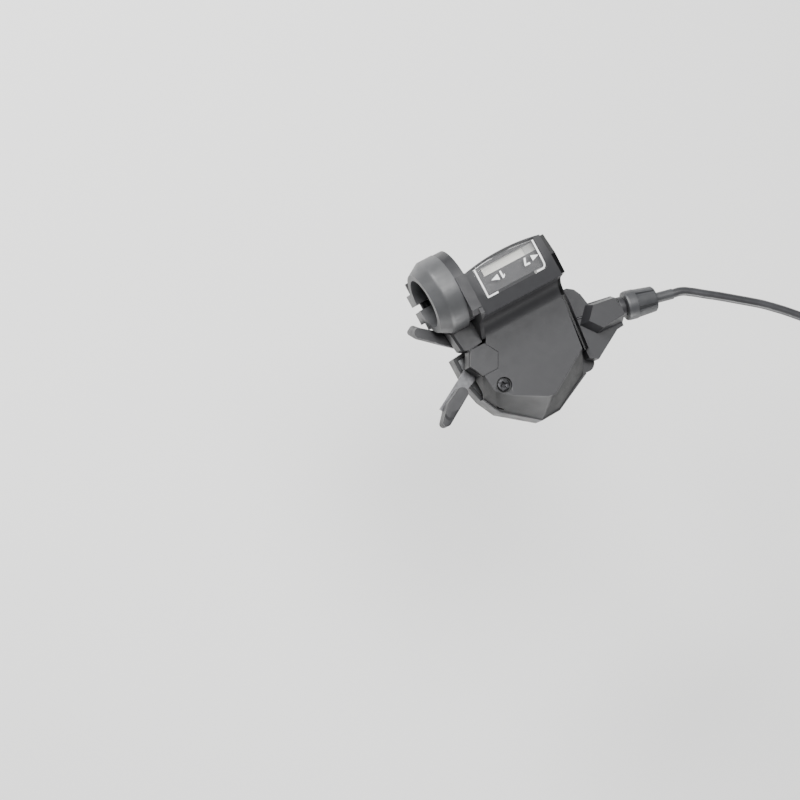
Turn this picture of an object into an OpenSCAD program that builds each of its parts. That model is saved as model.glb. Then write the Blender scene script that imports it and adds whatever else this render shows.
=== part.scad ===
// Right-hand seven-speed thumb shifter for a bicycle handlebar, with a gear window.
// Millimetres. The origin is the centre of the handlebar bore. X runs along the bar
// towards the stem, Y towards the rider, and Z up, square to the flat deck.

/* [Handlebar clamp] */
// Diameter of the handlebar that the band grips
bar_d = 22.2; // [20:0.1:27]
// Radial thickness of the band
clamp_wall = 6.1; // [4.5:0.1:7]
// Length of the band along the bar
clamp_len = 12.6; // [11.5:0.1:16]
// Length of the cone at the band's outboard end
cone_len = 5.8; // [3:0.1:7]
// Width of the split in the band
clamp_gap = 3; // [1.5:0.1:4]
// Thread diameter of the bolt that closes the band
clamp_bolt_d = 5; // [4:0.5:6]

/* [Housing] */
// Length of the flange between the band and the cover
flange_len = 4.8; // [4:0.1:6]
// Length of the gear window housing along the bar
pod_len = 38.4; // [36:0.1:48]
// Height of the gear window's top above the bar
pod_rise = 6.4; // [6.2:0.1:9]
// Depth of the mechanism box below the deck
box_depth = 18.8; // [18.6:0.1:24]
// Thickness of the deck
deck_t = 2; // [1.6:0.1:2.4]
// Thickness of the side walls
wall = 1.8; // [1.2:0.1:2.2]
// Thickness of the steel base plate
plate_t = 1.5; // [1:0.1:2.5]
// Height of the bottom cover
bottom_h = 3.7; // [3.2:0.1:6]
// Corner to corner width of the hexagonal cap
hex_d = 14.5; // [13:0.1:15]

/* [Mechanism] */
// Diameter of the main pivot
shaft_d = 6; // [4:0.1:7]
// Radius at which the cable lies on the spool
spool_r = 11.2; // [10.6:0.1:11.6]
// Number of teeth round the ratchet wheel
ratchet_teeth = 23; // [18:1:28]
// Radius over the ratchet wheel's teeth
ratchet_r = 13.2; // [12.8:0.1:13.4]
// Radius at which the band lies on the indicator drum
drum_r = 12.8; // [12.5:0.1:13.8]
// Thickness of the lever plate
lever_t = 2; // [1.5:0.1:2.2]
// Reach of the thumb paddle from the main pivot
paddle_reach = 54; // [53:0.5:60]
// Height of the thumb paddle
paddle_h = 18.5; // [14:0.5:24]
// Diameter of the trigger's pivot
trigger_pin_d = 5; // [4:0.1:5.6]
// Reach of the trigger from its pivot
trigger_reach = 33; // [28:0.5:36]

/* [Cable] */
// Diameter of the inner cable
cable_d = 1.2; // [1.1:0.1:1.6]
// Diameter of the outer cable
housing_d = 4; // [3.8:0.1:5]
// Diameter of the barrel adjuster's knob
knob_d = 13.2; // [11:0.1:14]
// Length of the barrel adjuster's knob
knob_len = 14; // [10:0.1:15]
// Radius of the coil of spare outer cable, at the middle of its turns
coil_r = 22; // [20:0.5:28]

/* [Hidden] */

// Clearances: running fits, seams between mouldings, and gaps between moving plates.
run = 0.05;
seam = 0.05;
free = 0.35;

bar_r = bar_d / 2;
band_r = bar_r + clamp_wall;
clamp_in = 5;
clamp_out = clamp_in - clamp_len;
seam_x = clamp_in + flange_len;
// The deck starts this far in front of the bar's centre line.
deck_y = -(bar_r + 14.3);
// The wall of the box that stands against the bar.
back_in = -(bar_r + 0.4);
back_wall = 1.2;
back_out = back_in - back_wall;
saddle_r = bar_r + 0.4;
pod_top = bar_r + pod_rise;
skirt_z = -12;

// Plan positions are measured from the corner where the seam meets the deck.
function at(x, y) = [seam_x + x, deck_y + y];
function plan(points) = [for (p = points) at(p.x, p.y)];
// Points that belong to the inboard end move with the housing's length.
stretch = pod_len - 38.4;
pivot = at(17.2, -17.2);
hex_at = at(-5.3, -7.9);
screw_at = at(-2.7, -21.7);
post_at = plan([[36.7 + stretch, 8.9], [35.2 + stretch, -29], [-4.3, -28.1]]);

// Levels of the mechanism, from the deck down.
drum_z = -(deck_t + 0.4);
drum_t = 1.8;
spool_z = drum_z - drum_t;
spool_t = 3.8;
cable_z = spool_z - spool_t / 2;
ratchet_z = spool_z - spool_t;
ratchet_t = 2.2;
pawl_z = ratchet_z - 0.15;
pawl_t = 1.9;
trigger_z = pawl_z - pawl_t - 0.3;
trigger_t = 1.3;
lever_z = -13.2;
plate_z = -box_depth;
bottom_z = plate_z - plate_t;
shaft_bottom = bottom_z - 2.3;

// One shift, the whole turn of the spool, and the cable's line away from it.
shifts = 6;
shift_turn = 360 / ratchet_teeth;
pull_turn = -12.9;
tangent_turn = 90 + pull_turn;
lever_turn = 140;
trigger_turn = 206;
wheel_bore = shaft_d / 2 + run;
boss_end = 42.6;
knob_start = 45.9;
knob_end = knob_start + knob_len;
ferrule_end = knob_start + 22.8;

// Deck, skirt and box outlines.
deck_outline = plan([[0, 0], [38.9 + stretch, 0], [39 + stretch, -2.5], [36.2 + stretch, -23.7],
    [16.2, -35.5], [12.8, -35.2], [-1, -27.6], [-7.6, -22.1], [-8.6, -13.6], [-1.8, -3.6]]);
skirt_outline = plan([[0, 0], [39.4 + stretch, 0], [39.5 + stretch, -2.6],
    [37 + stretch, -24.9], [34.7 + stretch, -34.2], [17.6, -42.6], [8.4, -42.9],
    [-6.6, -31.1], [-10.6, -23.1], [-10.8, -13.6], [-2.3, -3.6]]);
box_outline = concat([[clamp_in, back_in], [seam_x + 41.4 + stretch, back_in]],
    plan([[42.1 + stretch, -2.6], [39.8 + stretch, -25.1], [36.2 + stretch, -34.6],
    [17.6, -43.2], [8.4, -43.5], [-7, -31.6], [-11.2, -23.3], [-13.4, -14.6], [-13.4, -1.5],
    [-4.8, -0.6]]));
ledge_outline = plan([[40.6 + stretch, 2.8], [44.3 + stretch, 2.5], [47 + stretch, 0.6],
    [48.7 + stretch, -2.6], [49.6 + stretch, -7.6], [60.5 + stretch, -9.6],
    [61.2 + stretch, -23.6], [56.1 + stretch, -23.9], [42.2 + stretch, -31.5],
    [38.6 + stretch, -29]]);
ledge_z = -5;
ear_at = at(38 + stretch, -30.2);

// Section of the gear window housing across the bar: its top, crease, steep front and fillet.
pod_back = 5;
crease_y = -7;
front_y = -(bar_r + 5.9);
front_z = pod_top - 2.8;
fillet_r = 7.5;
pod_section = concat([[pod_back, bar_r - 0.3], [pod_back, pod_top - 1.9]],
    arc([pod_back - 1.8, pod_top - 1.9], 1.8, 0, 84, 6), [[crease_y, pod_top - 0.3]],
    [[front_y, front_z]], arc([deck_y, fillet_r], fillet_r, 0, -90, 12),
    [[deck_y, skirt_z], [back_out - seam, skirt_z], [back_out - seam, 0]]);
pod_hollow = [[pod_back - 1.4, 0], [pod_back - 1.4, pod_top - 1.7], [crease_y, pod_top - 1.8],
    [front_y + 1.1, front_z - 1.2], [front_y + 0.2, 5.4], [front_y - 1.6, 1.6],
    [deck_y + 3.8, -deck_t], [deck_y - 3, -deck_t], [deck_y - 3, skirt_z - 1],
    [back_out - seam, skirt_z - 1]];
// The back of the gear window housing bows outwards along the bar.
bow_rise = 2.2;
bow_r = (pow(pod_len / 2, 2) + pow(bow_rise, 2)) / (2 * bow_rise);
bow_turn = 14;
function bow(inset) =
    arc([seam_x + pod_len / 2, pod_back - bow_r], bow_r - inset, 90 + bow_turn, 90 - bow_turn, 16);
function bowed(inset) = concat(bow(inset), [[seam_x + pod_len + 9, -50], [seam_x - 9, -50]]);
pod_plan = [[seam_x, pod_back + 1], [seam_x + pod_len - 0.8, pod_back + 1],
    [seam_x + pod_len, crease_y], [seam_x + pod_len + 0.9, front_y + 1],
    [seam_x + pod_len + 0.9, deck_y - 0.5], [seam_x, deck_y - 0.5]];

// The window's lens and the strip that it shows.
lens_x0 = seam_x + 3.8;
lens_x1 = seam_x + pod_len - 3.8;
lens_front = crease_y - 4.2;
lens_back = pod_back - 0.7;
lens_slope = (pod_top - 0.3 - front_z) / (crease_y - front_y);
strip_x0 = lens_x0 + 4.4;
strip_x1 = lens_x1 - 0.4;
strip_t = 0.25;
strip_z = saddle_r + 1 + strip_t;
needle_z = strip_z + free;
dial_z = needle_z + 0.4 + free;
needle_w = 5;
needle_x = strip_x1 - needle_w;
band_y = pivot.y + drum_r;

function arc(c, r, a0, a1, n) =
    [for (i = [0:n]) let (a = a0 + (a1 - a0) * i / n) [c.x + r * cos(a), c.y + r * sin(a)]];
function polar(c, r, a) = [c.x + r * cos(a), c.y + r * sin(a)];
function unit(v) = v / norm(v);

// Rings of a round tube along a path, and the faces that join them.
function heading(path, i) =
    unit(path[min(i + 1, len(path) - 1)] - path[max(i - 1, 0)]);
function ring(path, i, r, sides) =
    let (t = heading(path, i), a = unit(cross([0.13, 0.05, 1], t)), b = cross(t, a))
    [for (k = [0:sides - 1]) path[i] + r * (cos(360 * k / sides) * a + sin(360 * k / sides) * b)];
function tube_faces(rings, sides) = concat(
    [[for (k = [0:sides - 1]) sides - 1 - k]],
    [for (i = [0:rings - 2], k = [0:sides - 1])
        [i * sides + k, i * sides + (k + 1) % sides,
        (i + 1) * sides + (k + 1) % sides, (i + 1) * sides + k]],
    [[for (k = [0:sides - 1]) (rings - 1) * sides + k]]);

// The outer cable's route from the adjuster to the coil, and the coil's place.
route = [[96.5, -47, -6.1], [100.5, -47.9, -6.1], [105, -50.5, -6.3], [109.6, -53.8, -6.4],
    [114.2, -57, -6.6], [118.6, -60.2, -6.8], [122.9, -63.4, -7], [127.2, -66.6, -7.2],
    [131.5, -69.9, -7.4], [135.5, -73.4, -7.6], [139.4, -77, -7.8], [143.1, -80.7, -8],
    [146.7, -84.5, -8.2], [150.2, -88.5, -8.4], [153.5, -92.5, -8.5], [156.8, -96.6, -8.5],
    [160.2, -100.9, -8.5], [163.6, -105.2, -8.5], [167, -109.5, -8.5]];
coil_turn = -51.5;
coil_at = [172, -115.8, -30.5];
coil_turns = 2;
coil_pitch = 4.3;
tie_turn = 200;

// Cuts a profile in the plane across the bar into a bar-wise solid from x0 to x1.
module along_bar(x0, x1) translate([x0, 0, 0]) rotate([90, 0, 90]) linear_extrude(x1 - x0)
    children();
// A round solid whose axis runs along the bar.
module round_x(r, x0, x1) translate([x0, 0, 0]) rotate([0, 90, 0])
    cylinder(r = r, h = x1 - x0, $fn = 96);
// A round solid that stands on z0.
module post(p, r, z0, z1, sides = 48) translate([p.x, p.y, z0])
    cylinder(r = r, h = z1 - z0, $fn = sides);
// A flat plate between two levels.
module slab(points, z0, z1) translate([0, 0, z0]) linear_extrude(z1 - z0) polygon(points);
module inset_slab(points, by, z0, z1) translate([0, 0, z0]) linear_extrude(z1 - z0)
    offset(delta = -by) polygon(points);
// A wedge of a disc, from angle a0 to a1.
module wedge(c, r, a0, a1, z0, z1) slab(concat([[c.x, c.y]], arc(c, r, a0, a1, 12)), z0, z1);
// Places a part on the cable's line, s along it from the spool, with its axis along the cable.
module on_cable(s) translate([pivot.x + spool_r * cos(tangent_turn) + s * cos(pull_turn),
    pivot.y + spool_r * sin(tangent_turn) + s * sin(pull_turn), cable_z])
    rotate([0, 0, pull_turn]) rotate([0, 90, 0]) children();
// Places a part in the main lever's own frame: x outwards along the arm, y in the push direction.
module on_lever(turn = lever_turn) translate([pivot.x, pivot.y, 0]) rotate([0, 0, turn])
    children();
module on_trigger() translate([hex_at.x, hex_at.y, 0]) rotate([0, 0, trigger_turn]) children();
// A wire coil that stands on z0 with straight legs at its two ends.
module coil_spring(c, r, wire, turns, pitch, z0, leg, start = 0) {
    steps = 14;
    body = [for (i = [0:turns * steps]) let (a = start + 360 * i / steps)
        [c.x + r * cos(a), c.y + r * sin(a), z0 + wire / 2 + pitch * i / steps]];
    tail = body[0] - leg * [-sin(start), cos(start), 0];
    end_a = start + 360 * turns;
    tip = body[len(body) - 1] + leg * [-sin(end_a), cos(end_a), 0];
    path = leg > 0 ? concat([tail], body, [tip]) : body;
    polyhedron([for (i = [0:len(path) - 1]) each ring(path, i, wire / 2, 6)],
        tube_faces(len(path), 6));
}
// A cross-shaped recess for a screwdriver, cut down into the face at z = 0.
module cross_recess(r, depth) for (a = [0, 90]) rotate([0, 0, a])
    translate([-r, -r * 0.22, -depth]) cube([2 * r, r * 0.44, depth + 1]);

bolt_z = -(band_r + 4);
bolt_x = -1;
lug_w = 10;
lug_y = 7;
nut_t = 3.5;
module clamp_band() color("#2c2d2f") difference() {
    union() {
        round_x(band_r, clamp_out + cone_len, clamp_in);
        translate([clamp_out, 0, 0]) rotate([0, 90, 0])
            cylinder(r1 = band_r - 3.4, r2 = band_r, h = cone_len, $fn = 96);
        translate([bolt_x - lug_w / 2, -lug_y, bolt_z - clamp_bolt_d]) cube([lug_w, 2 * lug_y,
            clamp_bolt_d + 8]);
    }
    round_x(bar_r + run, clamp_out - 1, clamp_in + 1);
    translate([clamp_out - 1, -clamp_gap / 2, bolt_z - clamp_bolt_d - 1])
        cube([clamp_len + 2, clamp_gap, -bolt_z + clamp_bolt_d]);
    translate([bolt_x, 0, bolt_z]) rotate([90, 0, 0])
        cylinder(r = clamp_bolt_d / 2 + 0.15, h = 3 * lug_y, center = true, $fn = 48);
    for (z = [-4.5, 4.5]) translate([0, -(bar_r + 3.2), z])
        round_x(1.2, clamp_in - 6.6, clamp_in + 1);
}

module clamp_bolt() color("#1d1d1f") translate([bolt_x, 0, bolt_z]) rotate([-90, 0, 0])
    difference() {
        union() {
            translate([0, 0, -lug_y - nut_t - 0.3])
                cylinder(r = clamp_bolt_d / 2, h = 2 * lug_y + nut_t + 1, $fn = 48);
            translate([0, 0, lug_y]) cylinder(r = clamp_bolt_d * 0.85, h = clamp_bolt_d, $fn = 48);
        }
        translate([0, 0, lug_y + 2]) cylinder(r = clamp_bolt_d / 2, h = clamp_bolt_d, $fn = 6);
    }

module clamp_nut() color("#8d8f92") translate([bolt_x, 0, bolt_z]) rotate([90, 0, 0])
    difference() {
        translate([0, 0, lug_y]) cylinder(r = clamp_bolt_d * 0.9, h = nut_t, $fn = 6);
        cylinder(r = clamp_bolt_d / 2, h = 3 * lug_y, $fn = 48);
    }

// Two screws that hold the band to the housing's flange, from inside the gear window housing.
module clamp_screws() color("#8d8f92") for (z = [-4.5, 4.5]) translate([0, -(bar_r + 3.2), z])
    difference() {
        union() {
            round_x(1.2, clamp_in - 6.5, seam_x - 1);
            round_x(2.1, seam_x - 1.7, seam_x - 0.1);
        }
        translate([seam_x - 0.1, 0, 0]) rotate([0, 90, 0]) cross_recess(1.3, 0.9);
    }

flange_top = pod_top + 0.2;
end_back = pod_back - 2.6;
// A low rib that ties a screw post to the wall.
module rib(p, reach, turn) translate([p.x, p.y, plate_z - 2]) rotate([0, 0, turn])
    translate([0, -0.8, 0]) cube([reach, 1.6, 4.8]);
module base_housing() color("#1b1b1d") difference() {
    union() {
        slab(box_outline, plate_z, skirt_z);
        slab(ledge_outline, plate_z + 4, ledge_z);
        post(ear_at, 4.2, plate_z, skirt_z);
        // Flange between the band and the cover, with its flat top and the fin behind the cover.
        along_bar(clamp_in, seam_x) intersection() {
            union() {
                circle(r = band_r - 0.3, $fn = 96);
                translate([-(band_r - 2.2), -band_r / 2]) square([band_r + 1, flange_top + band_r / 2]);
            }
            polygon([[band_r + 1, -band_r - 1], [band_r + 1, 9], [3.4, flange_top],
                [-(bar_r + 1.6), flange_top], [-(bar_r + 4.6), flange_top - 3.4],
                [-(bar_r + 4.6), -band_r - 1]]);
        }
        along_bar(seam_x - 1.8, seam_x) polygon([[-bar_r, flange_top - 0.3],
            [-(bar_r + 4.4), flange_top - 0.3], [front_y - 0.6, front_z], [front_y - 2, 7.6],
            [deck_y + 1.6, 1.4], [deck_y, 0.6], [deck_y, skirt_z], [-bar_r, skirt_z]]);
        // Wall round the bar under the gear window, and the inboard end wall.
        along_bar(seam_x - 0.1, seam_x + pod_len) intersection() {
            union() {
                circle(r = saddle_r + 1, $fn = 96);
                translate([back_out, skirt_z]) square([back_wall + 1, -skirt_z]);
            }
            translate([back_out, skirt_z]) square([-back_out + pod_back - 4, 40]);
        }
        intersection() {
            along_bar(seam_x + pod_len - 2, seam_x + pod_len + 4) offset(delta = -0.7)
                polygon(pod_section);
            slab([[seam_x + pod_len - 0.5 + seam, end_back], [seam_x + pod_len + seam, crease_y],
                [seam_x + pod_len + 0.9 + seam, front_y + 1], [seam_x + pod_len + 0.9 + seam, deck_y],
                [seam_x + pod_len + 3, deck_y], [seam_x + pod_len + 2.8, front_y],
                [seam_x + pod_len + 2.2, crease_y], [seam_x + pod_len + 1.2, end_back]],
                skirt_z, pod_top);
        }
        // Glossy band along the deck's inboard edge, sloping outwards.
        hull() {
            slab(plan([[39.55 + stretch, 1.6], [40.2 + stretch, 1.6], [40.3 + stretch, -2.4],
                [39.65 + stretch, -2.6]]), ledge_z, -0.9);
            slab(plan([[37.1 + stretch, -25], [37.8 + stretch, -25], [37.8 + stretch, -25.2]]),
                ledge_z, -0.9);
            slab(plan([[39.55 + stretch, 1.6], [42.1 + stretch, 1.6], [42.3 + stretch, -2.6],
                [39.9 + stretch, -25.1], [37.1 + stretch, -25]]), skirt_z, -3.4);
        }
        // Shoulder between the band and the hexagonal cap.
        hull() {
            slab([[-3, -band_r + 2], [seam_x - 1.8, -band_r + 2], [seam_x - 1.8, deck_y + 0.4],
                [-2, deck_y + 0.4]], -11, -3.2);
            slab([[-2, -band_r + 1], [seam_x - 1.8, -band_r + 1], [seam_x - 1.8, deck_y - 0.8],
                [0.5, deck_y - 1.2], [-1, deck_y - 0.4]], -11, -1.9);
        }
        slab([[0, -band_r], [seam_x, -band_r], [seam_x, deck_y], [-1, deck_y]], skirt_z, -10);
        // Boss that carries the barrel adjuster.
        hull() {
            slab(plan([[41.8 + stretch, -14.5], [48.2 + stretch, -7.9], [60.4 + stretch, -9.7],
                [61.6 + stretch, -22.2], [47.2 + stretch, -21.4]]), ledge_z - 7, ledge_z);
            slab(plan([[44.8 + stretch, -14.7], [49.8 + stretch, -9.4], [60.1 + stretch, -11],
                [61.4 + stretch, -19.4], [49 + stretch, -20.2]]), ledge_z, 0.5);
        }
    }
    // The bar, the space under it, and the mechanism's chamber.
    round_x(saddle_r, clamp_in - 1, seam_x);
    round_x(saddle_r, seam_x - 0.01, seam_x + 90);
    translate([seam_x, back_in, -60]) cube([90, 60, 60]);
    translate([seam_x, 0, 0]) cube([90, 60, bar_r - 0.2]);
    difference() {
        inset_slab(box_outline, wall, plate_z - 1, skirt_z + 0.01);
        for (p = post_at) post(p, 2.6, plate_z - 2, skirt_z - 0.3);
        post(screw_at, 2.2, plate_z - 2, skirt_z - 0.3);
        rib(post_at[0], 5, 0);
        rib(post_at[1], 5, 0);
        rib(screw_at, 9, 180);
        translate([clamp_in - 1, back_out, plate_z - 2]) cube([90, 9, 30]);
    }
    // Space for the cover's skirt above the box.
    hull() {
        slab(deck_outline, -0.01, 0.4);
        inset_slab(skirt_outline, -seam, skirt_z, skirt_z + 0.01);
    }
    // The lever's and trigger's ways out, and the bores.
    wedge(pivot, 60, 122, 192, lever_z - lever_t - 0.5, skirt_z + 0.01);
    on_cable(14) cylinder(r = cable_d / 2 + 0.6, h = 60, $fn = 32);
    on_cable(boss_end - 8) cylinder(r = 3.6, h = 20, $fn = 48);
    on_cable(boss_end) cylinder(r = 12, h = 20, $fn = 48);
    for (p = post_at) post(p, 1.25, plate_z - 1, skirt_z - 2);
    post(screw_at, 1.25, plate_z + 1, skirt_z);
    for (z = [-4.5, 4.5]) translate([0, -(bar_r + 3.2), z]) {
        round_x(1.3, clamp_in - 1, seam_x + 1);
        round_x(2.2, seam_x - 1.7, seam_x + 1);
    }
    round_x(band_r, clamp_out - 5, clamp_in);
}

module top_cover() color("#2f3033") difference() {
    union() {
        intersection() {
            along_bar(seam_x, seam_x + pod_len + 4) polygon(pod_section);
            slab(pod_plan, skirt_z, pod_top + 1);
            slab(bowed(0), skirt_z - 1, pod_top + 2);
        }
        hull() {
            slab(deck_outline, -0.01, 0);
            slab(skirt_outline, skirt_z, skirt_z + 0.01);
        }
        translate([hex_at.x, hex_at.y, -9.7]) cylinder(r = hex_d / 2, h = 9.7, $fn = 6);
    }
    round_x(saddle_r + 1 + seam, seam_x - 1, seam_x + pod_len + 9);
    // Hollow under the window and the deck.
    intersection() {
        along_bar(seam_x + 1.4, seam_x + pod_len - 1.4) polygon(pod_hollow);
        slab(bowed(1.2), skirt_z - 2, pod_top + 2);
    }
    difference() {
        hull() {
            inset_slab(deck_outline, 2.2, -deck_t - 0.01, -deck_t);
            inset_slab(skirt_outline, wall, skirt_z - 0.02, skirt_z - 0.01);
        }
        translate([hex_at.x, hex_at.y, -9.7]) cylinder(r = hex_d / 2, h = 9.7, $fn = 6);
        post(screw_at, 2.9, skirt_z - 0.3, 0);
    }
    translate([screw_at.x, screw_at.y, 0]) {
        translate([0, 0, -1.5]) cylinder(r = 3.5, h = 2, $fn = 48);
        translate([0, 0, -20]) cylinder(r = 1.3, h = 20, $fn = 32);
    }
    // Seat of the hexagonal cap, the trigger's pin and chamber, and the trigger's way out.
    translate([hex_at.x, hex_at.y, -2.2]) cylinder(r = hex_d / 2, h = 3, $fn = 6);
    post(hex_at, trigger_pin_d / 2, -10, 0);
    post(hex_at, 5.5, skirt_z - 1, -5);
    wedge(hex_at, 14, -85, -15, -10, pawl_z + free);
    wedge(hex_at, 30, 150, 250, skirt_z - 1, trigger_z + free);
    on_cable(10) cylinder(r = cable_d / 2 + 0.6, h = 30, $fn = 32);
    // Opening for the lens.
    intersection() {
        translate([lens_x0, lens_front, pod_top - 3]) cube([lens_x1 - lens_x0, 30, 6]);
        slab(bowed(0.7), 0, pod_top + 5);
    }
    for (p = [post_at[1], post_at[2]]) post(p, 3.2, skirt_z - 1, skirt_z + 2);
}

module cover_screw() color("#161617") translate([screw_at.x, screw_at.y, 0]) difference() {
    union() {
        translate([0, 0, -1.5]) cylinder(r = 2.7, h = 1.2, $fn = 48);
        translate([0, 0, -16]) cylinder(r = 1.25, h = 14.6, $fn = 32);
    }
    translate([0, 0, -0.3]) cross_recess(1.7, 1.1);
}

module lens_section(top, back, front) polygon([[back, top], [crease_y, top],
    [front, top - lens_slope * (crease_y - front)], [front, top - 1.2 - lens_slope * (crease_y - front)],
    [crease_y, top - 1.2], [back, top - 1.2]]);
module window_lens() color("#3a3c40", 0.6) intersection() {
    along_bar(lens_x0 + seam, lens_x1 - seam)
        lens_section(pod_top - 0.3, lens_back + 2, lens_front + seam);
    slab(bowed(0.7 + seam), 0, pod_top + 5);
}

module dial_plate() color("#101012") difference() {
    intersection() {
        translate([seam_x + 1.4, lens_front + 1.4, dial_z]) cube([pod_len - 2.8, 30, 0.5]);
        slab(bowed(1.4), 0, pod_top);
        translate([0, -30, 0]) cube([90, 30 + pod_back - 1.4, 60]);
    }
    translate([strip_x0, -2, dial_z - 1]) cube([strip_x1 - strip_x0, 3.8, 3]);
}

module display_strip() color("#e6e0c8") translate([strip_x0 - 1, -3, strip_z - strip_t])
    cube([strip_x1 - strip_x0 + 2, 4.9, strip_t]);

module hex_cap() color("#232427") translate([hex_at.x, hex_at.y, -2.2]) difference() {
    cylinder(r = hex_d / 2 - 0.22, h = 2.3, $fn = 6);
    translate([0, 0, -1]) cylinder(r = trigger_pin_d / 2 + 0.1, h = 1.6, $fn = 32);
}

module pivot_shaft() color("#b4b6b8") {
    post(pivot, shaft_d / 2, shaft_bottom, -deck_t);
}

module pivot_nut() color("#9fa1a4") difference() {
    post(pivot, 5, shaft_bottom, bottom_z, 6);
    post(pivot, shaft_d / 2, shaft_bottom - 1, bottom_z + 1);
}

// The bottom cover's rim, which stands round the base plate.
rim = 0.9;
module base_plate() color("#a9abad") difference() {
    union() {
        inset_slab(box_outline, rim + seam, bottom_z, plate_z);
        post(pivot, 5.5, plate_z - 0.1, lever_z - lever_t - free);
    }
    post(pivot, shaft_d / 2, bottom_z - 1, 0);
    for (p = post_at) post(p, 1.3, bottom_z - 1, plate_z + 1);
}

module bottom_cover() color("#1f2022") difference() {
    union() {
        slab(box_outline, bottom_z - bottom_h, plate_z);
        post(ear_at, 4.2, bottom_z - bottom_h, plate_z);
    }
    inset_slab(box_outline, rim, bottom_z, plate_z + 1);
    difference() {
        inset_slab(box_outline, wall, bottom_z - bottom_h + 1.2, bottom_z + 1);
        for (p = post_at) post(p, 3.4, bottom_z - bottom_h, bottom_z + 1);
    }
    for (p = post_at) {
        post(p, 1.3, bottom_z - bottom_h - 1, bottom_z + 1);
        post(p, 2.6, bottom_z - bottom_h - 1, bottom_z - bottom_h + 1.4);
    }
}

module bottom_screws() color("#161617") for (p = post_at) difference() {
    union() {
        post(p, 2.5, bottom_z - bottom_h + 0.1, bottom_z - bottom_h + 1.4);
        post(p, 1.25, bottom_z - bottom_h + 1.3, skirt_z - 2.2);
    }
    translate([p.x, p.y, bottom_z - bottom_h + 0.1]) mirror([0, 0, 1]) cross_recess(1.5, 0.9);
}

// The spool: two flanges with the cable's groove between them, and a pocket for the cable's head.
head_turn = tangent_turn + 62;
module head_space(extra) on_lever(head_turn) translate([spool_r - 0.4, -2 - extra, cable_z])
    rotate([-90, 0, 0]) cylinder(r = 1.55 + extra, h = 4 + 2 * extra, $fn = 32);
module spool() color("#c9c6bd") translate([pivot.x, pivot.y, 0]) difference() {
    rotate_extrude($fn = 96) polygon([[wheel_bore, ratchet_z], [13, ratchet_z], [13, cable_z - 0.9],
        [spool_r - 0.95, cable_z - 0.9], [spool_r - 0.95, cable_z + 0.9], [13, cable_z + 0.9],
        [13, spool_z], [wheel_bore, spool_z]]);
    translate([-pivot.x, -pivot.y, 0]) head_space(run);
}

module cable_head() color("#a2a4a6") head_space(0);

module indicator_drum() color("#d8d5cb") difference() {
    post(pivot, drum_r - 0.25, spool_z, drum_z, 96);
    post(pivot, wheel_bore, spool_z - 1, drum_z + 1);
}

module ratchet_wheel() color("#9c9ea1") difference() {
    slab([for (i = [0:ratchet_teeth - 1], tip = [0, 1])
        polar(pivot, tip == 0 ? ratchet_r - 1.5 : ratchet_r, i * shift_turn + tip * 1.5)],
        ratchet_z - ratchet_t, ratchet_z);
    post(pivot, wheel_bore, ratchet_z - ratchet_t - 1, ratchet_z + 1);
}

// The inner cable: its turn in the spool's groove and its run out through the adjuster.
module inner_cable() color("#bfc1c3") {
    translate([pivot.x, pivot.y, cable_z]) rotate([0, 0, tangent_turn])
        rotate_extrude(angle = 50, $fn = 96) translate([spool_r, 0])
            circle(r = cable_d / 2 - 0.02, $fn = 24);
    on_cable(-0.3) cylinder(r = cable_d / 2, h = ferrule_end + 0.3, $fn = 24);
}

module spacer_bush() color("#b4b6b8") difference() {
    post(pivot, 4.8, lever_z + 0.3, ratchet_z - ratchet_t - 0.3);
    post(pivot, shaft_d / 2, lever_z, ratchet_z);
}

// The thumb lever: a steel plate with the drive pawl's ear, and a moulded paddle on its end.
drive_turn = 242;
ear_turn = drive_turn - lever_turn;
pawl_pin_r = 16.2;
module lever_plate() color("#a9abad") on_lever() difference() {
    translate([0, 0, lever_z - lever_t]) linear_extrude(lever_t) union() {
        circle(r = 8, $fn = 64);
        polygon([[0, -6.5], [12, -3.2], [paddle_reach - 14, -3], [paddle_reach - 4, -1.2],
            [paddle_reach - 4, 1.2], [paddle_reach - 14, 3], [12, 3.2], [0, 6.5]]);
        rotate(ear_turn) translate([pawl_pin_r, 0]) circle(r = 2.2, $fn = 32);
        rotate(ear_turn) translate([0, -2.2]) square([pawl_pin_r, 4.4]);
    }
    translate([0, 0, lever_z - lever_t - 1]) {
        cylinder(r = wheel_bore, h = lever_t + 2, $fn = 48);
        rotate([0, 0, ear_turn]) translate([pawl_pin_r, 0, 0]) cylinder(r = 1.4, h = 9, $fn = 32);
    }
}

paddle_top = lever_z + 0.6;
module thumb_paddle() color("#242528") on_lever() difference() {
    union() {
        hull() {
            translate([paddle_reach - 16, 0, paddle_top - 5]) cylinder(r = 2.6, h = 5, $fn = 32);
            translate([paddle_reach - 3, 0, paddle_top - 5]) cylinder(r = 2.2, h = 5, $fn = 32);
            translate([paddle_reach - 14.5, -1, paddle_top - paddle_h + 4]) cylinder(r = 1.5, h = 2, $fn = 32);
            translate([paddle_reach - 1.8, -2, paddle_top - paddle_h + 4]) cylinder(r = 1.5, h = 2, $fn = 32);
        }
        hull() {
            translate([paddle_reach - 14.5, -1, paddle_top - paddle_h + 4]) cylinder(r = 1.5, h = 2, $fn = 32);
            translate([paddle_reach - 1.8, -2, paddle_top - paddle_h + 4]) cylinder(r = 1.5, h = 2, $fn = 32);
            translate([paddle_reach - 12.5, -3.4, paddle_top - paddle_h]) cylinder(r = 1.3, h = 1.5, $fn = 32);
            translate([paddle_reach - 3, -4.4, paddle_top - paddle_h]) cylinder(r = 1.3, h = 1.5, $fn = 32);
        }
    }
    translate([0, 0, lever_z - lever_t]) linear_extrude(lever_t) polygon([[0, -3.2],
        [paddle_reach - 14, -3], [paddle_reach - 4, -1.2], [paddle_reach - 4, 1.2],
        [paddle_reach - 14, 3], [0, 3.2]]);
}

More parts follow.
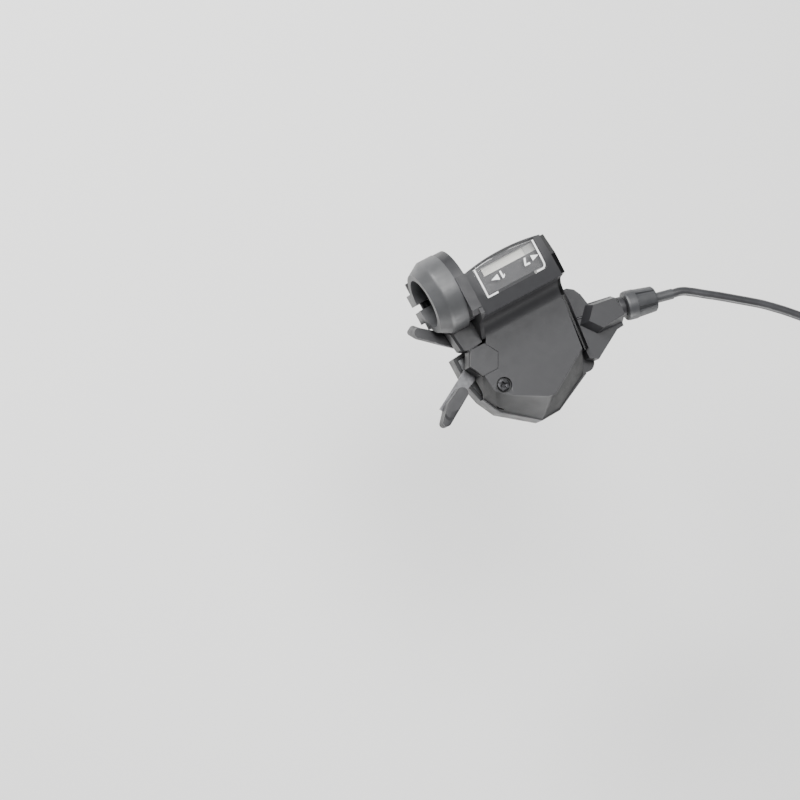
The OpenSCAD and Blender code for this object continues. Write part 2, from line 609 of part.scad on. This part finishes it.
module lever_spring() color("#8f9194") coil_spring(pivot, 7, 0.9, 2, 0.95,
    plate_z + 0.1, 5, 60);

module drive_pawl_pin() color("#b4b6b8") on_lever() rotate([0, 0, ear_turn])
    translate([pawl_pin_r, 0, lever_z - lever_t])
    cylinder(r = 1.4, h = pawl_z + 0.1 - lever_z + lever_t, $fn = 32);

module drive_pawl() color("#9c9ea1") translate([0, 0, pawl_z - pawl_t]) difference() {
    linear_extrude(pawl_t) union() {
        translate(polar(pivot, pawl_pin_r, drive_turn)) circle(r = 2.2, $fn = 32);
        polygon([polar(pivot, pawl_pin_r + 2, drive_turn + 2),
            polar(pivot, ratchet_r + 1.9, drive_turn + 14),
            polar(pivot, ratchet_r + 0.35, drive_turn + 16),
            polar(pivot, pawl_pin_r - 2, drive_turn + 2)]);
    }
    translate(concat(polar(pivot, pawl_pin_r, drive_turn), -1))
        cylinder(r = 1.4 + run, h = 9, $fn = 32);
}

module drive_pawl_spring() color("#8f9194") coil_spring(polar(pivot, pawl_pin_r, drive_turn), 1.9, 0.5, 3,
    0.6, lever_z + 0.1, 0);

module trigger_pin() color("#b4b6b8") {
    post(hex_at, trigger_pin_d / 2, trigger_z - trigger_t - 0.6, -2.2);
}

module trigger_clip() color("#8f9194") difference() {
    post(hex_at, 4, trigger_z - trigger_t - 0.6, trigger_z - trigger_t - 0.1);
    post(hex_at, trigger_pin_d / 2, -20, 0);
}

// The release trigger: a steel plate on its pin, and a moulded finger pad.
tab_turn = -20 - trigger_turn;
module trigger_plate() color("#a9abad") on_trigger() difference() {
    translate([0, 0, trigger_z - trigger_t]) linear_extrude(trigger_t) union() {
        circle(r = 4.6, $fn = 48);
        rotate(tab_turn) translate([0, -1]) square([7.4, 2]);
        polygon([[0, -4], [10, -3], [trigger_reach - 6, -2.2], [trigger_reach - 6, 2.2],
            [10, 3], [0, 4]]);
    }
    translate([0, 0, -20]) cylinder(r = trigger_pin_d / 2 + run, h = 20, $fn = 48);
}

module trigger_pad() color("#242528") on_trigger() difference() {
    hull() {
        for (x = [trigger_reach - 16, trigger_reach - 9]) translate([x, 1, -11.8])
            cylinder(r = 2.6, h = 9, $fn = 32);
        translate([trigger_reach - 1.8, 3, -11.8]) cylinder(r = 1.8, h = 8, $fn = 32);
    }
    translate([0, 0, trigger_z - trigger_t]) linear_extrude(trigger_t)
        polygon([[0, -2.9], [10, -3], [trigger_reach - 6, -2.2], [trigger_reach - 6, 2.2],
            [10, 3], [0, 2.9]]);
}

module trigger_spring() color("#8f9194") coil_spring(hex_at, 3.6, 0.7, 2, 0.95, pawl_z + 0.15, 0);

// The holding pawl: a strut from the trigger's pin to the ratchet wheel.
module holding_pawl() color("#9c9ea1") difference() {
    union() {
        post(hex_at, 4.2, pawl_z - pawl_t, pawl_z);
        slab([polar(hex_at, 3.4, -20), polar(pivot, ratchet_r + 2.4, 178),
            polar(pivot, ratchet_r + 0.4, 183), polar(pivot, ratchet_r + 0.4, 186),
            polar(pivot, ratchet_r + 2.2, 187.5), polar(hex_at, 3.4, -85)], pawl_z - pawl_t, pawl_z);
    }
    post(hex_at, trigger_pin_d / 2 + run, pawl_z - pawl_t - 1, pawl_z + 1);
}

// The gear indicator: a band from the drum pulls a carriage that carries the needle.
module indicator_band() color("#d8d5cb") {
    translate([pivot.x, pivot.y, drum_z - drum_t + 0.1]) rotate([0, 0, 90])
        rotate_extrude(angle = 55, $fn = 96) translate([drum_r - 0.2, 0]) square([0.4, drum_t - 0.2]);
    translate([pivot.x, band_y - 0.2, drum_z - drum_t + 0.1])
        cube([needle_x + needle_w - pivot.x, 0.4, drum_t - 0.2]);
}

blade_y = back_out - 1.7;
module indicator_carriage() color("#d8d5cb") {
    translate([needle_x, band_y + 0.2, drum_z - drum_t + 0.1])
        cube([needle_w, blade_y - band_y + 1, drum_t - 0.2]);
    translate([needle_x, blade_y, drum_z - drum_t + 0.1])
        cube([needle_w, 1.2, needle_z - drum_z + drum_t - 0.1]);
}

module indicator_needle() color("#b9b9b4") translate([needle_x, blade_y, needle_z])
    cube([needle_w, 1.9 - blade_y, 0.4]);

module adjuster_insert() color("#8d8f92") on_cable(boss_end - 8) difference() {
    cylinder(r = 3.6, h = 8, $fn = 48);
    translate([0, 0, -1]) cylinder(r = 2.5 + run, h = 10, $fn = 48);
}

module adjuster_collar() color("#1b1b1d") on_cable(boss_end) difference() {
    cylinder(r = 4.7, h = 2.6, $fn = 64);
    translate([0, 0, -1]) cylinder(r = 3.7, h = 5, $fn = 48);
}

module adjuster_spring() color("#8f9194") on_cable(boss_end + 0.2)
    coil_spring([0, 0], 3.1, 0.5, 3, 0.75, 0, 0);

collar_len = 4.5;
module adjuster_knob() color("#242427") on_cable(0) difference() {
    union() {
        translate([0, 0, boss_end - 7]) cylinder(r = 2.5, h = knob_start - boss_end + 7.1, $fn = 48);
        translate([0, 0, knob_start]) {
            cylinder(r1 = knob_d / 2 - 0.3, r2 = knob_d / 2, h = 1, $fn = 64);
            translate([0, 0, 1]) cylinder(r = knob_d / 2, h = collar_len - 1, $fn = 64);
            cylinder(r1 = knob_d / 2 - 0.8, r2 = knob_d / 2 - 1.5, h = knob_len, $fn = 64);
            intersection() {
                cylinder(r1 = knob_d / 2 + 0.2, r2 = knob_d / 2 - 0.9, h = knob_len - 0.6, $fn = 64);
                for (a = [0:60:300]) rotate([0, 0, a]) translate([0, -2.1, collar_len - 1])
                    cube([knob_d, 4.2, knob_len]);
            }
        }
    }
    cylinder(r = cable_d / 2 + 0.3, h = 90, $fn = 24);
    translate([0, 0, knob_start + 5]) cylinder(r = housing_d / 2 + 0.55, h = 20, $fn = 48);
}

module housing_ferrule() color("#2a2a2c") on_cable(0) difference() {
    union() {
        translate([0, 0, knob_start + 5.3]) cylinder(r = housing_d / 2 + 0.45, h = 5, $fn = 48);
        translate([0, 0, knob_start + 5.3]) cylinder(r = housing_d / 2 + 0.35,
            h = ferrule_end - knob_start - 5.3, $fn = 48);
    }
    cylinder(r = cable_d / 2, h = 90, $fn = 24);
}

module outer_cable() color("#1c1c1e") polyhedron(
    [for (i = [0:len(route) - 1]) each ring(route, i, housing_d / 2, 8)],
    tube_faces(len(route), 8));

// The coil's own frame: its axis is level, and its turns stand on edge.
module on_coil() translate(coil_at) rotate([0, 0, coil_turn]) rotate([90, 0, 0]) children();
coil_half = housing_d / 2 + 0.1;
coil_wide = coil_turns * coil_pitch + housing_d + 0.2;
module cable_coil() color("#1c1c1e") on_coil() translate([0, 0, -coil_half])
    rotate_extrude($fn = 96) translate([coil_r - coil_half, 0]) square([2 * coil_half, coil_wide]);

module coil_tie() color("#101011") on_coil() rotate([0, 0, tie_turn]) translate([0, 0, -coil_half])
    rotate_extrude(angle = 8, $fn = 96) difference() {
        translate([coil_r - coil_half - 0.8, -0.8]) square([2 * coil_half + 1.6, coil_wide + 1.6]);
        translate([coil_r - coil_half, 0]) square([2 * coil_half, coil_wide]);
    }

tail = sqrt(pow(coil_r + coil_half, 2) - pow(coil_r - 2.6, 2));
neck_len = 1.5;
module end_ferrule() color("#2a2a2c") on_coil() translate([tail, coil_r, coil_turns * coil_pitch])
    rotate([0, 90, 0]) {
        cylinder(r = housing_d / 2 + 0.1, h = neck_len + 1, $fn = 48);
        translate([0, 0, neck_len]) cylinder(r = housing_d / 2 + 0.4, h = 12, $fn = 48);
    }

module wire_end() color("#bfc1c3") on_coil()
    translate([tail + neck_len + 12, coil_r, coil_turns * coil_pitch]) rotate([0, 90, 0]) {
        cylinder(r = cable_d / 2, h = 6, $fn = 24);
        translate([0, 0, 4]) cylinder(r = 1.1, h = 6, $fn = 24);
    }

clamp_band();
clamp_bolt();
clamp_nut();
clamp_screws();
base_housing();
top_cover();
cover_screw();
window_lens();
dial_plate();
display_strip();
hex_cap();
pivot_shaft();
pivot_nut();
base_plate();
bottom_cover();
bottom_screws();
spool();
indicator_drum();
ratchet_wheel();
cable_head();
inner_cable();
spacer_bush();
lever_plate();
thumb_paddle();
lever_spring();
drive_pawl_pin();
drive_pawl();
drive_pawl_spring();
trigger_pin();
trigger_clip();
trigger_plate();
trigger_pad();
trigger_spring();
holding_pawl();
indicator_band();
indicator_carriage();
indicator_needle();
adjuster_insert();
adjuster_collar();
adjuster_spring();
adjuster_knob();
housing_ferrule();
outer_cable();
cable_coil();
coil_tie();
end_ferrule();
wire_end();
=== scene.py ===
"""Looks for the thumb shifter: materials, printed marks, grip ribs, the cable, and the camera."""
import math

import bmesh
import bpy
from mathutils import Matrix, Vector


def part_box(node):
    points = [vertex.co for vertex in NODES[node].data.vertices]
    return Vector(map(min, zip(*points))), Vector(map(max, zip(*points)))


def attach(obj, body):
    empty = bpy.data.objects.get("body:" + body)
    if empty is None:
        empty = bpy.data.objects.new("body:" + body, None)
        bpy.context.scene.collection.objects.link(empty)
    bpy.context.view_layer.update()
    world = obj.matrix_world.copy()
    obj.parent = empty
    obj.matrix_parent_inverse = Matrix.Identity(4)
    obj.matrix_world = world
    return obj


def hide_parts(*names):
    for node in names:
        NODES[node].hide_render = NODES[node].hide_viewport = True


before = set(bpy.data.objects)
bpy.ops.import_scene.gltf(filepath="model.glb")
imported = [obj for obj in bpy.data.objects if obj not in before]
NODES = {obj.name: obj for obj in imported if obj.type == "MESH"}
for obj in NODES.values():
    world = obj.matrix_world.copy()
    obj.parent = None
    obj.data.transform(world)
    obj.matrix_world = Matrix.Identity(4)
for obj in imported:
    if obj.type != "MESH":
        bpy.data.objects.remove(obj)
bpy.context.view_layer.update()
MM = 0.001


# ---------------------------------------------------------------- camera
TILT = math.radians(14)           # the camera leans outboard from straight above the deck
ROLL = math.radians(28.2)         # the bar runs up to the right in the picture
DISTANCE = 1.3
BAR_WAY = Vector((math.cos(TILT), 0, math.sin(TILT)))
RIDER_WAY = Vector((0, 1, 0))
RIGHT = math.cos(ROLL) * BAR_WAY - math.sin(ROLL) * RIDER_WAY
UP = math.sin(ROLL) * BAR_WAY + math.cos(ROLL) * RIDER_WAY
TOWARDS = Vector((-math.sin(TILT), 0, math.cos(TILT)))
AIM = -0.0168 * RIGHT - 0.0448 * UP


def make_camera():
    """Stands the camera at the picture's viewing angle, with a 135 mm lens."""
    data = bpy.data.cameras.new("camera")
    data.lens = 135.5
    data.sensor_width = 36
    data.clip_start = 0.01
    camera = bpy.data.objects.new("camera", data)
    turn = Matrix((RIGHT, UP, TOWARDS)).transposed()
    camera.matrix_world = Matrix.Translation(AIM + DISTANCE * TOWARDS) @ turn.to_4x4()
    bpy.context.scene.collection.objects.link(camera)
    bpy.context.scene.camera = camera


make_camera()


# ---------------------------------------------------------------- node helpers for materials
class Shader:
    """A material's node tree with a Principled shader, and short ways to add nodes to it."""

    def __init__(self, name, colour, roughness, metallic=0.0, **sockets):
        self.material = bpy.data.materials.new(name)
        self.material.use_nodes = True
        self.tree = self.material.node_tree
        self.main = self.tree.nodes["Principled BSDF"]
        self.set("Base Color", (*colour, 1))
        self.set("Roughness", roughness)
        self.set("Metallic", metallic)
        for socket, value in sockets.items():
            self.set(socket.replace("_", " "), value)
        place = self.add("ShaderNodeTexCoord")
        self.place = place.outputs["Object"]

    def add(self, kind, **values):
        node = self.tree.nodes.new(kind)
        for key, value in values.items():
            setattr(node, key, value)
        return node

    def set(self, socket, value):
        self.main.inputs[socket].default_value = value

    def link(self, a, b):
        self.tree.links.new(a, b)

    def noise(self, per_metre, detail=2.0, stretch=(1, 1, 1), rough=0.5):
        """Noise whose features are about 1 / per_metre across."""
        mapping = self.add("ShaderNodeMapping")
        mapping.inputs["Scale"].default_value = stretch
        self.link(self.place, mapping.inputs["Vector"])
        node = self.add("ShaderNodeTexNoise")
        node.inputs["Scale"].default_value = per_metre
        node.inputs["Detail"].default_value = detail
        node.inputs["Roughness"].default_value = rough
        self.link(mapping.outputs[0], node.inputs["Vector"])
        return node.outputs["Fac"]

    def ramp(self, value, low, high, start=0.35, stop=0.65):
        """Maps a value between start and stop to the span from low to high."""
        node = self.add("ShaderNodeMapRange")
        for socket, number in zip(("From Min", "From Max", "To Min", "To Max"),
                                  (start, stop, low, high)):
            node.inputs[socket].default_value = number
        self.link(value, node.inputs["Value"])
        return node.outputs[0]

    def tint(self, factor, dark, light):
        """Colours the surface between dark and light by a factor."""
        node = self.add("ShaderNodeMix", data_type="RGBA")
        node.inputs[6].default_value = (*dark, 1)
        node.inputs[7].default_value = (*light, 1)
        self.link(factor, node.inputs[0])
        self.link(node.outputs[2], self.main.inputs["Base Color"])

    def rough(self, value, low, high):
        self.link(self.ramp(value, low, high), self.main.inputs["Roughness"])

    def bump(self, height, depth):
        """Raises the surface by depth metres where height is 1."""
        node = self.add("ShaderNodeBump")
        node.inputs["Strength"].default_value = 1
        node.inputs["Distance"].default_value = depth
        self.link(height, node.inputs["Height"])
        self.link(node.outputs[0], self.main.inputs["Normal"])


def moulded(name, dark, light, low, high, grain=0.00003, grain_per_metre=2600, **sockets):
    """Moulded plastic: a fine spark-eroded grain, and faint clouds in colour and gloss."""
    shader = Shader(name, light, high, **sockets)
    shader.tint(shader.ramp(shader.noise(90, 4), 0, 1), dark, light)
    shader.rough(shader.noise(260, 3), low, high)
    shader.bump(shader.noise(grain_per_metre, 3, rough=0.7), grain)
    return shader.material


RIBS_PER_METRE = 600
RIB_DEPTH = 0.0003


def ribbed(name, colour, roughness):
    """Grip plastic with level ribs for the thumb or finger."""
    shader = Shader(name, colour, roughness)
    split = shader.add("ShaderNodeSeparateXYZ")
    shader.link(shader.place, split.inputs[0])
    turns = shader.add("ShaderNodeMath", operation="MULTIPLY")
    turns.inputs[1].default_value = 2 * math.pi * RIBS_PER_METRE
    shader.link(split.outputs[2], turns.inputs[0])
    wave = shader.add("ShaderNodeMath", operation="SINE")
    shader.link(turns.outputs[0], wave.inputs[0])
    ribs = shader.ramp(wave.outputs[0], 0, 1, -0.2, 0.5)
    shader.rough(shader.noise(260, 3), roughness - 0.05, roughness + 0.05)
    shader.bump(ribs, RIB_DEPTH)
    return shader.material


def machined(name, colour, low, high, stretch):
    """Metal with fine marks drawn out along one direction."""
    shader = Shader(name, colour, high, metallic=1.0)
    marks = shader.noise(4000, 2, stretch)
    shader.rough(marks, low, high)
    worn = tuple(0.7 * c for c in colour)
    shader.tint(shader.ramp(shader.noise(300, 3), 0, 1), worn, colour)
    shader.bump(marks, 0.00001)
    return shader.material


# The housing's band beside the deck and the end of the window housing, painted near black as shade and
# made glossier.
SHADED_BAND_X = (0.0465, 0.0507)
SHADED_BAND_Z = (-0.0047, 1.0)


def housing_black():
    """Satin black moulding, with painted shade that turns the band beside the deck and the end wall
    near black; these are glossier too.
    """
    shader = Shader("housing_black", (0.014, 0.014, 0.016), 0.42, Specular_IOR_Level=0.4)
    split = shader.add("ShaderNodeSeparateXYZ")
    shader.link(shader.place, split.inputs[0])
    in_shaded_band = None
    for axis, span in ((0, SHADED_BAND_X), (2, SHADED_BAND_Z)):
        for operation, limit in zip(("GREATER_THAN", "LESS_THAN"), span):
            test = shader.add("ShaderNodeMath", operation=operation)
            test.inputs[1].default_value = limit
            shader.link(split.outputs[axis], test.inputs[0])
            if in_shaded_band is None:
                in_shaded_band = test.outputs[0]
            else:
                both = shader.add("ShaderNodeMath", operation="MULTIPLY")
                shader.link(in_shaded_band, both.inputs[0])
                shader.link(test.outputs[0], both.inputs[1])
                in_shaded_band = both.outputs[0]
    # Painted shade: the band and the end wall get a near black colour.
    shader.tint(in_shaded_band, (0.019, 0.019, 0.021), (0.0015, 0.0015, 0.0018))
    gloss = shader.add("ShaderNodeMix", data_type="FLOAT")
    shader.link(in_shaded_band, gloss.inputs[0])
    shader.link(shader.ramp(shader.noise(240, 3), 0.36, 0.48), gloss.inputs[2])
    gloss.inputs[3].default_value = 0.28
    shader.link(gloss.outputs[0], shader.main.inputs["Roughness"])
    grain = shader.add("ShaderNodeMath", operation="MULTIPLY_ADD")
    shader.link(in_shaded_band, grain.inputs[0])
    grain.inputs[1].default_value = -1
    grain.inputs[2].default_value = 1
    height = shader.add("ShaderNodeMath", operation="MULTIPLY")
    shader.link(grain.outputs[0], height.inputs[0])
    shader.link(shader.noise(2600, 3, rough=0.7), height.inputs[1])
    shader.bump(height.outputs[0], 0.00002)
    return shader.material


def cover_grey():
    """Satin dark grey on the deck and the window housing, with painted shade that turns the skirts
    below blacker.
    """
    shader = Shader("cover_grey", (0.028, 0.028, 0.030), 0.44, Specular_IOR_Level=0.35)
    split = shader.add("ShaderNodeSeparateXYZ")
    shader.link(shader.place, split.inputs[0])
    # Painted shade: the colour ramps from the deck's grey down to near black on the skirts below.
    painted_skirt_shade = shader.ramp(split.outputs[2], 0, 1, -0.0009, -0.0003)
    shader.tint(painted_skirt_shade, (0.010, 0.010, 0.011), (0.028, 0.028, 0.030))
    shader.rough(shader.noise(260, 3), 0.40, 0.48)
    shader.bump(shader.noise(2600, 3, rough=0.7), 0.00003)
    return shader.material


MATERIALS = {
    "cover": cover_grey(),
    "housing": housing_black(),
    "clamp": moulded("clamp_grey", (0.050, 0.051, 0.053), (0.062, 0.063, 0.066), 0.38, 0.48),
    "lever": ribbed("lever_black", (0.020, 0.020, 0.022), 0.52),
    "knob": moulded("knob_black", (0.030, 0.031, 0.033), (0.042, 0.043, 0.046), 0.40, 0.52),
    "jacket": moulded("cable_jacket", (0.028, 0.028, 0.030), (0.040, 0.040, 0.043), 0.30, 0.40,
                      grain=0.00001, grain_per_metre=900),
    "nylon": moulded("nylon", (0.60, 0.58, 0.52), (0.70, 0.68, 0.62), 0.42, 0.55),
    "dial": moulded("dial_black", (0.006, 0.006, 0.007), (0.010, 0.010, 0.011), 0.30, 0.40),
    "strip": moulded("strip_cream", (0.88, 0.87, 0.80), (0.93, 0.92, 0.86), 0.45, 0.55,
                     grain=0.000005),
    "needle": moulded("needle_grey", (0.42, 0.42, 0.40), (0.50, 0.50, 0.48), 0.45, 0.55),
    "print": moulded("white_print", (0.80, 0.80, 0.80), (0.88, 0.88, 0.88), 0.40, 0.50,
                     grain=0.000003),
    "black_screw": machined("black_screw", (0.035, 0.035, 0.037), 0.28, 0.42, (1, 1, 1)),
    "plate": machined("steel_plate", (0.52, 0.53, 0.54), 0.28, 0.42, (1, 0.06, 1)),
    "dark_plate": machined("blackened_steel_and_shaded_wire", (0.11, 0.11, 0.115), 0.32, 0.46, (1, 0.06, 1)),
    "bright": machined("steel_bright", (0.62, 0.63, 0.64), 0.18, 0.30, (1, 1, 0.08)),
    "spring": machined("spring_steel", (0.40, 0.41, 0.42), 0.24, 0.36, (1, 1, 1)),
}


def smoked_lens():
    """Smoked clear plastic: hazy grey, glossy, and mostly see-through."""
    shader = Shader("smoked_lens", (0.30, 0.30, 0.31), 0.10, Alpha=0.11, IOR=1.49)
    shader.rough(shader.noise(500, 2), 0.08, 0.13)
    return shader.material


MATERIALS["lens"] = smoked_lens()

NODE_MATERIALS = {
    "clamp": ["clamp_band"],
    "cover": ["top_cover", "hex_cap"],
    "housing": ["base_housing", "bottom_cover", "adjuster_collar", "coil_tie"],
    "lever": ["thumb_paddle", "trigger_pad"],
    "knob": ["adjuster_knob", "housing_ferrule", "end_ferrule"],
    "lens": ["window_lens"],
    "dial": ["dial_plate"],
    "strip": ["display_strip"],
    "needle": ["indicator_needle"],
    "nylon": ["spool", "indicator_drum", "indicator_band", "indicator_carriage"],
    "black_screw": ["clamp_bolt", "cover_screw", "bottom_screws"],
    "plate": ["clamp_nut", "clamp_screws", "pivot_nut", "base_plate", "ratchet_wheel",
              "drive_pawl", "holding_pawl", "adjuster_insert"],
    # The inner cable gets the blackened steel as painted shade, which darkens the wire where it shows.
    "dark_plate": ["lever_plate", "trigger_plate", "inner_cable"],
    "bright": ["pivot_shaft", "spacer_bush", "drive_pawl_pin", "trigger_pin", "cable_head",
               "wire_end"],
    "spring": ["lever_spring", "drive_pawl_spring", "trigger_spring", "trigger_clip",
               "adjuster_spring"],
}
for look, names in NODE_MATERIALS.items():
    for name in names:
        node = NODES[name]
        node.data.materials.clear()
        node.data.materials.append(MATERIALS[look])


def soften(name, width):
    """Rounds a moulding's edges by width metres and shades its faces smoothly."""
    node = NODES[name]
    weld = node.modifiers.new("weld", "WELD")
    weld.merge_threshold = 1e-6
    edge = node.modifiers.new("edge", "BEVEL")
    edge.width = width
    edge.segments = 2
    edge.limit_method = "ANGLE"
    edge.angle_limit = math.radians(32)
    normals = node.modifiers.new("normals", "WEIGHTED_NORMAL")
    normals.weight = 100


# ---------------------------------------------------------------- the cable
ROUTE = [(96.5, -47, -6.1), (100.5, -47.9, -6.1), (105, -50.5, -6.3), (109.6, -53.8, -6.4),
         (114.2, -57, -6.6), (118.6, -60.2, -6.8), (122.9, -63.4, -7), (127.2, -66.6, -7.2),
         (131.5, -69.9, -7.4), (135.5, -73.4, -7.6), (139.4, -77, -7.8), (143.1, -80.7, -8),
         (146.7, -84.5, -8.2), (150.2, -88.5, -8.4), (153.5, -92.5, -8.5), (156.8, -96.6, -8.5),
         (160.2, -100.9, -8.5), (163.6, -105.2, -8.5), (167, -109.5, -8.5)]
COIL_AT = Vector((172, -115.8, -30.5))
COIL_TURN = math.radians(-51.5)
COIL_RADIUS = 22
COIL_TURNS = 2
COIL_PITCH = 4.3
TAIL = math.sqrt((COIL_RADIUS + 2.1) ** 2 - (COIL_RADIUS - 2.6) ** 2)
CABLE_DIAMETER = 4


def from_coil(x, y, z):
    """A point in the coil's own frame, whose z is the coil's axis, as a point of the object."""
    return COIL_AT + Matrix.Rotation(COIL_TURN, 3, "Z") @ Vector((x, -z, y))


def cable_points():
    """The whole cable's line in metres: the route, the coil's turns, and the way out of them."""
    points = [Vector(p) for p in ROUTE]
    steps = 20 * COIL_TURNS
    for i in range(steps + 1):
        angle = math.radians(90 - 360 * COIL_TURNS * i / steps)
        points.append(from_coil(COIL_RADIUS * math.cos(angle), COIL_RADIUS * math.sin(angle),
                                COIL_PITCH * COIL_TURNS * i / steps))
    points.append(from_coil(TAIL / 2, COIL_RADIUS, COIL_PITCH * COIL_TURNS))
    points.append(from_coil(TAIL, COIL_RADIUS, COIL_PITCH * COIL_TURNS))
    return [MM * p for p in points]


def make_cable():
    """The outer cable as one smooth round curve."""
    data = bpy.data.curves.new("outer_cable_line", "CURVE")
    data.dimensions = "3D"
    data.bevel_depth = CABLE_DIAMETER / 2 * MM
    data.bevel_resolution = 8
    data.use_fill_caps = True
    line = data.splines.new("BEZIER")
    points = cable_points()
    line.bezier_points.add(len(points) - 1)
    for knot, place in zip(line.bezier_points, points):
        knot.co = place
        knot.handle_left_type = knot.handle_right_type = "AUTO"
    line.resolution_u = 6
    cable = bpy.data.objects.new("outer_cable_line", data)
    bpy.context.scene.collection.objects.link(cable)
    data.materials.append(MATERIALS["jacket"])
    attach(cable, "housing")
    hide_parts("outer_cable", "cable_coil")


make_cable()


# ---------------------------------------------------------------- printed marks on the window
LENS_LOW, LENS_HIGH = (Vector(corner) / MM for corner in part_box("window_lens"))
CREASE_Y = -7
LENS_TOP = LENS_HIGH.z
LENS_SLOPE = 0.25
PRINT_LIFT = 0.02
PRINT_THICK = 0.03


def on_lens(x, y, lift):
    """The point of the lens's outer face above x, y, raised by lift."""
    return Vector((x, y, LENS_TOP - LENS_SLOPE * max(0, CREASE_Y - y) + lift)) * MM


def print_shape(name, outlines):
    """Thin printed shapes on the lens, from outlines listed anticlockwise in millimetres."""
    mesh = bpy.data.meshes.new(name)
    shape = bmesh.new()
    for outline in outlines:
        low = [shape.verts.new(on_lens(x, y, PRINT_LIFT)) for x, y in outline]
        high = [shape.verts.new(on_lens(x, y, PRINT_LIFT + PRINT_THICK)) for x, y in outline]
        count = len(outline)
        shape.faces.new(high)
        shape.faces.new(low[::-1])
        for i in range(count):
            j = (i + 1) % count
            shape.faces.new((low[i], low[j], high[j], high[i]))
    bmesh.ops.recalc_face_normals(shape, faces=shape.faces)
    shape.to_mesh(mesh)
    shape.free()
    mesh.materials.append(MATERIALS["print"])
    piece = bpy.data.objects.new(name, mesh)
    bpy.context.scene.collection.objects.link(piece)
    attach(piece, "housing")


def line_quads(points, width):
    """Quads of one width that follow a line of points and meet in mitres."""
    left, right = [], []
    for i, (x, y) in enumerate(points):
        here = Vector((x, y))
        before = Vector(points[max(i - 1, 0)])
        after = Vector(points[min(i + 1, len(points) - 1)])
        a = (here - before).normalized() if i else (after - here).normalized()
        b = (after - here).normalized() if i < len(points) - 1 else a
        normal = Vector((-(a + b).y, (a + b).x)).normalized()
        reach = width / 2 / max(0.5, normal.dot(Vector((-a.y, a.x))))
        left.append(here + reach * normal)
        right.append(here - reach * normal)
    return [[tuple(right[i]), tuple(right[i + 1]), tuple(left[i + 1]), tuple(left[i])]
            for i in range(len(points) - 1)]


def bend(centre, radius, start, stop, count=5):
    """Points along an arc between two angles in degrees."""
    return [(centre[0] + radius * math.cos(math.radians(start + (stop - start) * i / count)),
             centre[1] + radius * math.sin(math.radians(start + (stop - start) * i / count)))
            for i in range(count + 1)]


FRAME_LEFT = LENS_LOW.x + 0.8
FRAME_RIGHT = LENS_HIGH.x - 0.7
FRAME_TOP = LENS_HIGH.y - 1.9
FRAME_LOW = LENS_LOW.y + 0.5
FRAME_WIDTH = 0.75
CORNER = 1.6


def make_frame_lines():
    """The white frame: a side, a short foot, then a foot with a round corner and the other side."""
    left = [(FRAME_LEFT, FRAME_TOP), (FRAME_LEFT, CREASE_Y), (FRAME_LEFT + 0.2, FRAME_LOW),
            (FRAME_LEFT + 5.2, FRAME_LOW)]
    corner = bend((FRAME_RIGHT - CORNER, FRAME_LOW + CORNER), CORNER, -90, 0)
    right = [(FRAME_RIGHT - 4.4, FRAME_LOW), *corner, (FRAME_RIGHT, CREASE_Y), (FRAME_RIGHT, FRAME_TOP)]
    print_shape("window_frame_print", line_quads(left, FRAME_WIDTH) + line_quads(right, FRAME_WIDTH))


def make_gear_marks():
    """An arrow and a digit at each end of the strip, read from the rider's side."""
    one = [[(24.0, -6.4), (24.8, -6.4), (24.8, -3.0), (24.0, -3.0)],
           [(24.8, -6.4), (25.6, -5.5), (25.6, -4.8), (24.8, -5.5)]]
    seven = [[(35.4, -6.4), (38.0, -6.4), (38.0, -5.6), (35.4, -5.6)],
             [(35.4, -5.6), (36.3, -5.6), (37.3, -3.0), (36.4, -3.0)]]
    arrow_out = [[(19.0, -4.9), (22.7, -6.3), (22.7, -3.6)]]
    arrow_in = [[(43.0, -4.5), (39.6, -3.2), (39.6, -5.8)]]
    print_shape("gear_marks_print", one + seven + arrow_out + arrow_in)


make_frame_lines()
make_gear_marks()

EDGE_WIDTHS = {
    0.0001: ["window_lens"],
    0.00012: ["cover_screw"],
    0.00015: ["hex_cap"],
    0.0002: ["housing_ferrule"],
    0.0003: ["adjuster_knob", "adjuster_collar", "end_ferrule", "clamp_bolt"],
    0.0004: ["top_cover", "base_housing", "bottom_cover"],
    0.0005: ["clamp_band", "thumb_paddle", "trigger_pad"],
}
for width, names in EDGE_WIDTHS.items():
    for name in names:
        soften(name, width)


# ---------------------------------------------------------------- stage and light
def make_floor():
    """A plain pale floor well below the object, which hangs from its handlebar."""
    bpy.ops.mesh.primitive_plane_add(size=8, location=(0, 0, -0.22))
    floor = bpy.context.object
    floor.name = "floor"
    shader = Shader("pale_floor", (0.90, 0.90, 0.89), 0.7)
    shader.tint(shader.ramp(shader.noise(3, 3), 0, 1), (0.89, 0.89, 0.88), (0.91, 0.91, 0.90))
    floor.data.materials.append(shader.material)


def area_light(name, place, aim, size, power):
    """A square soft light at place that faces aim."""
    data = bpy.data.lights.new(name, "AREA")
    data.size = size
    data.energy = power
    light = bpy.data.objects.new(name, data)
    light.location = place
    light.rotation_euler = (Vector(aim) - Vector(place)).to_track_quat("-Z", "Y").to_euler()
    bpy.context.scene.collection.objects.link(light)


def make_light():
    """A faint even sky, soft lights from the rider's side and above, and a low one in front."""
    world = bpy.data.worlds.new("sky")
    world.use_nodes = True
    world.node_tree.nodes["Background"].inputs["Color"].default_value = (0.98, 0.99, 1, 1)
    world.node_tree.nodes["Background"].inputs["Strength"].default_value = 0.20
    bpy.context.scene.world = world
    centre = (0.03, -0.03, 0)
    area_light("key", (-0.20, 0.95, 0.80), centre, 0.5, 26)
    area_light("overhead", (0.05, 0.30, 1.20), centre, 0.7, 23)
    area_light("fill", (-0.10, -1.00, -0.10), centre, 0.6, 13)


make_floor()
make_light()
